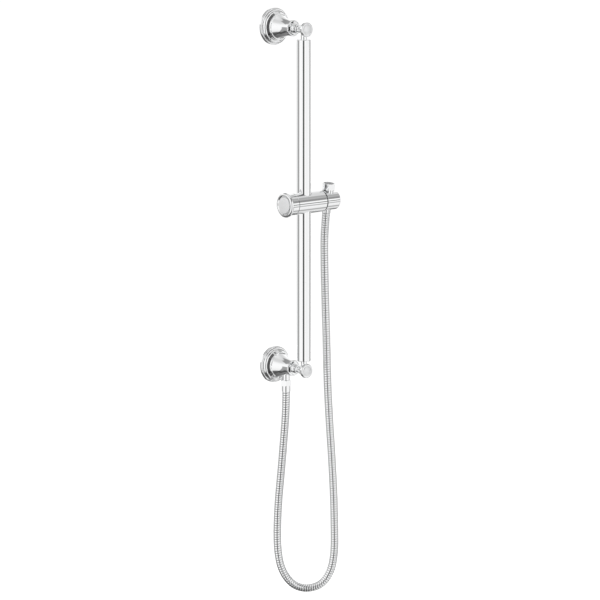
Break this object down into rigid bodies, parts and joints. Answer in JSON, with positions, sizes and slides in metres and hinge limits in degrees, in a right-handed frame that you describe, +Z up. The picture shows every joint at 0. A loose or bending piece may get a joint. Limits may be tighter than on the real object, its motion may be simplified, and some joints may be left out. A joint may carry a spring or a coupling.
{
  "type": "shower slide rail",
  "caption": "Polished chrome shower slide rail with bell wall brackets, a push button slider with a tilting handset cradle, and a hanging metal hose.",
  "frame": {"origin": "centre of the water inlet at the lower bracket's wall face", "axes": "+Z up along the rail, +Y into the wall, +X to the right as seen from the room"},
  "size_m": [0.1223, 0.104, 1.0605],
  "materials": {
    "polished_chrome": "polished chrome plate on brass",
    "hose_chrome": "chrome plated interlocked metal spiral over a rubber liner",
    "plate_steel": "zinc plated",
    "screw_steel": "stainless",
    "spring_steel": "drawn wire",
    "seal_rubber": "matte",
    "dark_plastic": "moulded",
    "white_plastic": "moulded"
  },
  "bodies": {
    "frame": {"rail_tube": "polished_chrome", "lower_rail_plug": "polished_chrome", "upper_rail_plug": "polished_chrome", "upper_escutcheon": "polished_chrome", "upper_wall_plate": "plate_steel", "supply_body": "polished_chrome", "lower_post": "polished_chrome", "upper_post": "polished_chrome", "lower_lock_nut": "polished_chrome", "upper_lock_nut": "polished_chrome", "lower_end_cap": "polished_chrome", "upper_end_cap": "polished_chrome", "lower_clamp_screw": "screw_steel", "upper_clamp_screw": "screw_steel", "outlet_nipple": "polished_chrome", "check_valve": "white_plastic", "lower_hose_washer": "seal_rubber", "lower_hose_nut": "polished_chrome", "lower_ferrule": "polished_chrome", "hose": "hose_chrome"},
    "glide": {"upper_rail_bush": "dark_plastic", "lower_rail_bush": "dark_plastic"},
    "slider": {"slider_barrel": "polished_chrome", "button_bezel": "polished_chrome", "swivel_washer": "dark_plastic", "brake_spring": "spring_steel"},
    "button": {"release_button": "polished_chrome", "brake_yoke": "white_plastic"},
    "cradle": {"cradle": "polished_chrome", "cradle_retainer": "screw_steel", "pivot_screw": "screw_steel", "coupling_nut": "polished_chrome", "upper_hose_washer": "seal_rubber", "upper_ferrule": "polished_chrome"}
  },
  "joints": [
    {"name": "slider_slide", "type": "slide", "parent": "frame", "child": "glide", "axis": [0, 0, 1], "range_m": [-0.266, 0.272], "deforming": ["hose"]},
    {"name": "slider_turn", "type": "hinge", "parent": "glide", "child": "slider", "pos_m": [0, -0.082, 0.302], "axis": [0, 0, 1], "range_deg": [-45, 45], "deforming": ["hose"]},
    {"name": "cradle_tilt", "type": "hinge", "parent": "slider", "child": "cradle", "pos_m": [0.055, -0.082, 0.302], "axis": [1, 0, 0], "range_deg": [-30, 40], "deforming": ["hose"]},
    {"name": "button_press", "type": "slide", "parent": "slider", "child": "button", "axis": [1, 0, 0], "range_m": [0, 0.003], "stiffness_N_per_m": 2000, "deforming": ["brake_spring"]}
  ]
}
